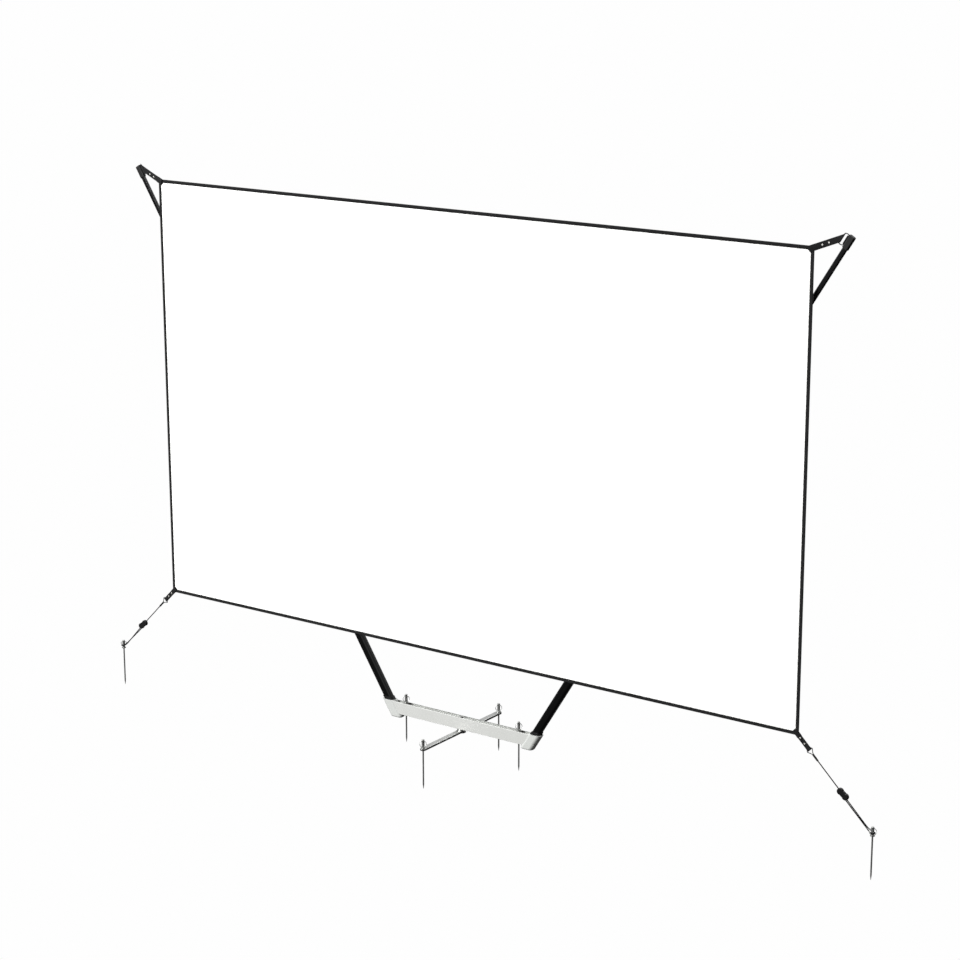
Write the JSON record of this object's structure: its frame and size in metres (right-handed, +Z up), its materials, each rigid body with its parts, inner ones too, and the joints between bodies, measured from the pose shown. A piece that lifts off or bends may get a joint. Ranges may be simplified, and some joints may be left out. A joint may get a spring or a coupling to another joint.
{
  "type": "folding projection screen",
  "caption": "Portable outdoor projection screen: black-edged white cloth on two telescopic arms splayed from a low base, held by straps, guy lines and ground pegs with pull rings.",
  "frame": {"origin": "on the ground under the pivot at the middle of the base", "axes": "+X to the right seen from the audience, +Y away from the audience, +Z up"},
  "size_m": [2.7082, 0.3927, 1.6991],
  "materials": {
    "screen_fabric": "matte coated projection cloth",
    "edge_tape": "matte woven tape",
    "webbing": "woven webbing",
    "cord": "braided cord",
    "sleeve_rubber": "matte heat-shrunk sleeve",
    "black_plastic": "fine-grained moulding",
    "black_tube": "black anodised, satin",
    "white_plastic": "smooth moulding",
    "panel_plastic": "smooth, satin",
    "silver_aluminium": "natural anodised, satin",
    "peg_steel": "plain turned steel",
    "ring_steel": "bright plated wire"
  },
  "bodies": {
    "base": {"base_channel": "silver_aluminium", "front_panel": "panel_plastic", "left_socket": "white_plastic", "right_socket": "white_plastic", "socket_collars": "black_plastic", "socket_screws": "peg_steel", "peg_bushes": "silver_aluminium", "pivot_bolt": "peg_steel", "pivot_plates": "silver_aluminium"},
    "cross_bar": {"cross_bar": "silver_aluminium"},
    "screen": {"screen_cloth": "screen_fabric", "edge_tape": "edge_tape", "strap_studs": "ring_steel", "left_upper_strap": "webbing", "left_lower_strap": "webbing", "left_guy_bridle": "cord", "left_guy_sleeve": "sleeve_rubber", "left_guy_line": "cord", "right_upper_strap": "webbing", "right_lower_strap": "webbing", "right_guy_bridle": "cord", "right_guy_sleeve": "sleeve_rubber", "right_guy_line": "cord"},
    "left_base_peg": {"left_base_peg": "peg_steel"},
    "left_base_pull_ring": {"left_base_pull_ring": "ring_steel"},
    "right_base_peg": {"right_base_peg": "peg_steel"},
    "right_base_pull_ring": {"right_base_pull_ring": "ring_steel"},
    "front_bar_peg": {"front_bar_peg": "peg_steel"},
    "front_bar_pull_ring": {"front_bar_pull_ring": "ring_steel"},
    "rear_bar_peg": {"rear_bar_peg": "peg_steel"},
    "rear_bar_pull_ring": {"rear_bar_pull_ring": "ring_steel"},
    "left_guy_peg": {"left_guy_peg": "peg_steel"},
    "left_guy_pull_ring": {"left_guy_pull_ring": "ring_steel"},
    "right_guy_peg": {"right_guy_peg": "peg_steel"},
    "right_guy_pull_ring": {"right_guy_pull_ring": "ring_steel"},
    "left_arm_outer": {"left_arm_outer_tube": "black_tube", "left_arm_outer_guides": "black_plastic"},
    "left_arm_second": {"left_arm_second_tube": "black_tube", "left_arm_second_guides": "black_plastic"},
    "left_arm_third": {"left_arm_third_tube": "black_tube", "left_arm_third_guides": "black_plastic"},
    "left_arm_top": {"left_arm_top_tube": "black_tube", "left_arm_top_guides": "black_plastic", "left_tip_cap": "black_plastic"},
    "left_tip_ring": {"left_tip_ring": "ring_steel"},
    "right_arm_outer": {"right_arm_outer_tube": "black_tube", "right_arm_outer_guides": "black_plastic"},
    "right_arm_second": {"right_arm_second_tube": "black_tube", "right_arm_second_guides": "black_plastic"},
    "right_arm_third": {"right_arm_third_tube": "black_tube", "right_arm_third_guides": "black_plastic"},
    "right_arm_top": {"right_arm_top_tube": "black_tube", "right_arm_top_guides": "black_plastic", "right_tip_cap": "black_plastic"},
    "right_tip_ring": {"right_tip_ring": "ring_steel"},
    "left_guy_adjuster": {"left_guy_adjuster": "black_plastic"},
    "right_guy_adjuster": {"right_guy_adjuster": "black_plastic"}
  },
  "joints": [
    {"name": "cross_bar_swing", "type": "hinge", "parent": "base", "child": "cross_bar", "pos_m": [0, 0, 0.0045], "axis": [0, 0, 1], "range_deg": [-80, 80]},
    {"name": "left_base_peg_slide", "type": "slide", "parent": "base", "child": "left_base_peg", "axis": [0, 0, 1], "range_m": [0, 0.13]},
    {"name": "left_base_ring_hinge", "type": "hinge", "parent": "left_base_peg", "child": "left_base_pull_ring", "pos_m": [-0.204, 0, 0.071], "axis": [-0.8192, -0.5736, 0], "range_deg": [0, 325]},
    {"name": "right_base_peg_slide", "type": "slide", "parent": "base", "child": "right_base_peg", "axis": [0, 0, 1], "range_m": [0, 0.13]},
    {"name": "right_base_ring_hinge", "type": "hinge", "parent": "right_base_peg", "child": "right_base_pull_ring", "pos_m": [0.204, 0, 0.071], "axis": [-0.8192, -0.5736, 0], "range_deg": [0, 325]},
    {"name": "front_bar_peg_slide", "type": "slide", "parent": "cross_bar", "child": "front_bar_peg", "axis": [0, 0, 1], "range_m": [0, 0.13]},
    {"name": "front_bar_ring_hinge", "type": "hinge", "parent": "front_bar_peg", "child": "front_bar_pull_ring", "pos_m": [0, -0.1875, 0.0295], "axis": [-0.8192, -0.5736, 0], "range_deg": [0, 325]},
    {"name": "rear_bar_peg_slide", "type": "slide", "parent": "cross_bar", "child": "rear_bar_peg", "axis": [0, 0, 1], "range_m": [0, 0.13]},
    {"name": "rear_bar_ring_hinge", "type": "hinge", "parent": "rear_bar_peg", "child": "rear_bar_pull_ring", "pos_m": [0, 0.1875, 0.0295], "axis": [-0.8192, -0.5736, 0], "range_deg": [0, 325]},
    {"name": "left_guy_peg_slide", "type": "slide", "parent": "base", "child": "left_guy_peg", "axis": [0, 0, 1], "range_m": [0, 0.13], "deforming": ["left_guy_line"]},
    {"name": "left_guy_ring_hinge", "type": "hinge", "parent": "left_guy_peg", "child": "left_guy_pull_ring", "pos_m": [-1.3426, -0.0155, 0.027], "axis": [0.8192, 0.5736, 0], "range_deg": [0, 200]},
    {"name": "right_guy_peg_slide", "type": "slide", "parent": "base", "child": "right_guy_peg", "axis": [0, 0, 1], "range_m": [0, 0.13], "deforming": ["right_guy_line"]},
    {"name": "right_guy_ring_hinge", "type": "hinge", "parent": "right_guy_peg", "child": "right_guy_pull_ring", "pos_m": [1.3426, -0.0155, 0.027], "axis": [-0.8192, -0.5736, 0], "range_deg": [0, 200]},
    {"name": "left_arm_plug_slide", "type": "slide", "parent": "base", "child": "left_arm_outer", "axis": [-0.5299, 0, 0.848], "range_m": [0, 0.06], "deforming": ["left_upper_strap"]},
    {"name": "left_second_section_slide", "type": "slide", "parent": "left_arm_outer", "child": "left_arm_second", "axis": [0.5299, 0, -0.848], "range_m": [0, 0.4], "deforming": ["left_upper_strap"]},
    {"name": "left_third_section_slide", "type": "slide", "parent": "left_arm_second", "child": "left_arm_third", "axis": [0.5299, 0, -0.848], "range_m": [0, 0.4], "deforming": ["left_upper_strap"]},
    {"name": "left_top_section_slide", "type": "slide", "parent": "left_arm_third", "child": "left_arm_top", "axis": [0.5299, 0, -0.848], "range_m": [0, 0.4], "deforming": ["left_upper_strap"]},
    {"name": "left_tip_ring_hinge", "type": "hinge", "parent": "left_arm_top", "child": "left_tip_ring", "pos_m": [-1.19588, 0, 1.56094], "axis": [0.5299, 0, -0.848], "range_deg": [-120, 40], "deforming": ["left_upper_strap"]},
    {"name": "right_arm_plug_slide", "type": "slide", "parent": "base", "child": "right_arm_outer", "axis": [0.5299, 0, 0.848], "range_m": [0, 0.06], "deforming": ["right_upper_strap"]},
    {"name": "right_second_section_slide", "type": "slide", "parent": "right_arm_outer", "child": "right_arm_second", "axis": [-0.5299, 0, -0.848], "range_m": [0, 0.4], "deforming": ["right_upper_strap"]},
    {"name": "right_third_section_slide", "type": "slide", "parent": "right_arm_second", "child": "right_arm_third", "axis": [-0.5299, 0, -0.848], "range_m": [0, 0.4], "deforming": ["right_upper_strap"]},
    {"name": "right_top_section_slide", "type": "slide", "parent": "right_arm_third", "child": "right_arm_top", "axis": [-0.5299, 0, -0.848], "range_m": [0, 0.4], "deforming": ["right_upper_strap"]},
    {"name": "right_tip_ring_hinge", "type": "hinge", "parent": "right_arm_top", "child": "right_tip_ring", "pos_m": [1.19588, 0, 1.56094], "axis": [0.5299, 0, 0.848], "range_deg": [-120, 40], "deforming": ["right_upper_strap"]},
    {"name": "screen_lift", "type": "slide", "parent": "base", "child": "screen", "axis": [0, 0, 1], "range_m": [0, 0.2], "deforming": ["left_upper_strap", "left_guy_line", "right_upper_strap", "right_guy_line"]},
    {"name": "left_adjuster_slide", "type": "slide", "parent": "screen", "child": "left_guy_adjuster", "axis": [0.7093, 0, 0.7049], "range_m": [0, 0.05], "deforming": ["left_guy_line"]},
    {"name": "right_adjuster_slide", "type": "slide", "parent": "screen", "child": "right_guy_adjuster", "axis": [-0.7093, 0, 0.7049], "range_m": [0, 0.05], "deforming": ["right_guy_line"]}
  ],
  "couplings": [
    {"joint": "left_third_section_slide", "follows": "left_second_section_slide", "ratio": 1},
    {"joint": "left_top_section_slide", "follows": "left_second_section_slide", "ratio": 1},
    {"joint": "right_third_section_slide", "follows": "right_second_section_slide", "ratio": 1},
    {"joint": "right_top_section_slide", "follows": "right_second_section_slide", "ratio": 1}
  ]
}
